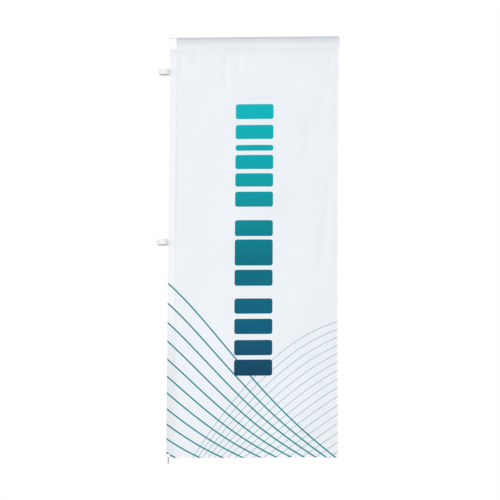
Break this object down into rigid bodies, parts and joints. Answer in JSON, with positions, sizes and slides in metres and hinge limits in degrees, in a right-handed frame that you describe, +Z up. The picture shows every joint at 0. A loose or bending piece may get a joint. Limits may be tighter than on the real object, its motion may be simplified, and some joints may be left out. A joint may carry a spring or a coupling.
{
  "type": "banner flag",
  "caption": "Portrait banner flag on a tubular boom: sewn top sleeve, taped header, webbing loops that close round a mast, and a snap hook in the lower eyelet.",
  "frame": {"origin": "centre of the boom's open mast end, on the boom's axis", "axes": "+X along the boom from the mast to its tip, +Z up, -Y the printed front"},
  "size_m": [1.0661, 0.0642, 2.5384],
  "materials": {
    "white_knit": "matte",
    "header_webbing": "matte",
    "strap_webbing": "matte",
    "hook_tape": "matte",
    "loop_tape": "matte",
    "anodised_aluminium": "satin",
    "grey_plastic": "satin",
    "nickelled_brass": "satin",
    "zinc_plated_steel": "satin",
    "spring_steel": "satin"
  },
  "bodies": {
    "boom": {"boom_tube": "anodised_aluminium", "boom_tip_cap": "grey_plastic"},
    "flag": {"flag_panel": "white_knit", "top_sleeve": "white_knit", "sleeve_mouth_binding": "header_webbing", "sleeve_end_patch": "header_webbing", "header_tape": "header_webbing", "eyelet": "nickelled_brass", "eyelet_washer": "nickelled_brass", "upper_strap_fixed": "strap_webbing", "upper_loop_patch": "loop_tape", "lower_strap_fixed": "strap_webbing", "lower_loop_patch": "loop_tape"},
    "upper_strap_end": {"upper_strap_free": "strap_webbing", "upper_hook_patch": "hook_tape"},
    "lower_strap_end": {"lower_strap_free": "strap_webbing", "lower_hook_patch": "hook_tape"},
    "carabiner": {"carabiner_body": "zinc_plated_steel", "gate_pin": "zinc_plated_steel"},
    "gate": {"carabiner_gate": "zinc_plated_steel", "gate_plunger": "zinc_plated_steel", "gate_spring": "spring_steel"}
  },
  "joints": [
    {"name": "flag_swing", "type": "hinge", "parent": "boom", "child": "flag", "pos_m": [0, 0, 0], "axis": [1, 0, 0], "range_deg": [-85, 85]},
    {"name": "upper_strap_opening", "type": "hinge", "parent": "flag", "child": "upper_strap_end", "pos_m": [-0.0616, 0, -0.1917], "axis": [0, 0, 1], "range_deg": [0, 110]},
    {"name": "lower_strap_opening", "type": "hinge", "parent": "flag", "child": "lower_strap_end", "pos_m": [-0.0616, 0, -1.2127], "axis": [0, 0, 1], "range_deg": [0, 110]},
    {"name": "carabiner_swing", "type": "hinge", "parent": "flag", "child": "carabiner", "pos_m": [0.015, 0, -2.4741], "axis": [0, 1, 0], "range_deg": [-65, 120]},
    {"name": "gate_opening", "type": "hinge", "parent": "carabiner", "child": "gate", "pos_m": [0.015, -0.00695, -2.4845], "axis": [1, 0, 0], "range_deg": [0, 25], "stiffness_Nm_per_rad": 0.08, "springref_deg": -17.19}
  ]
}
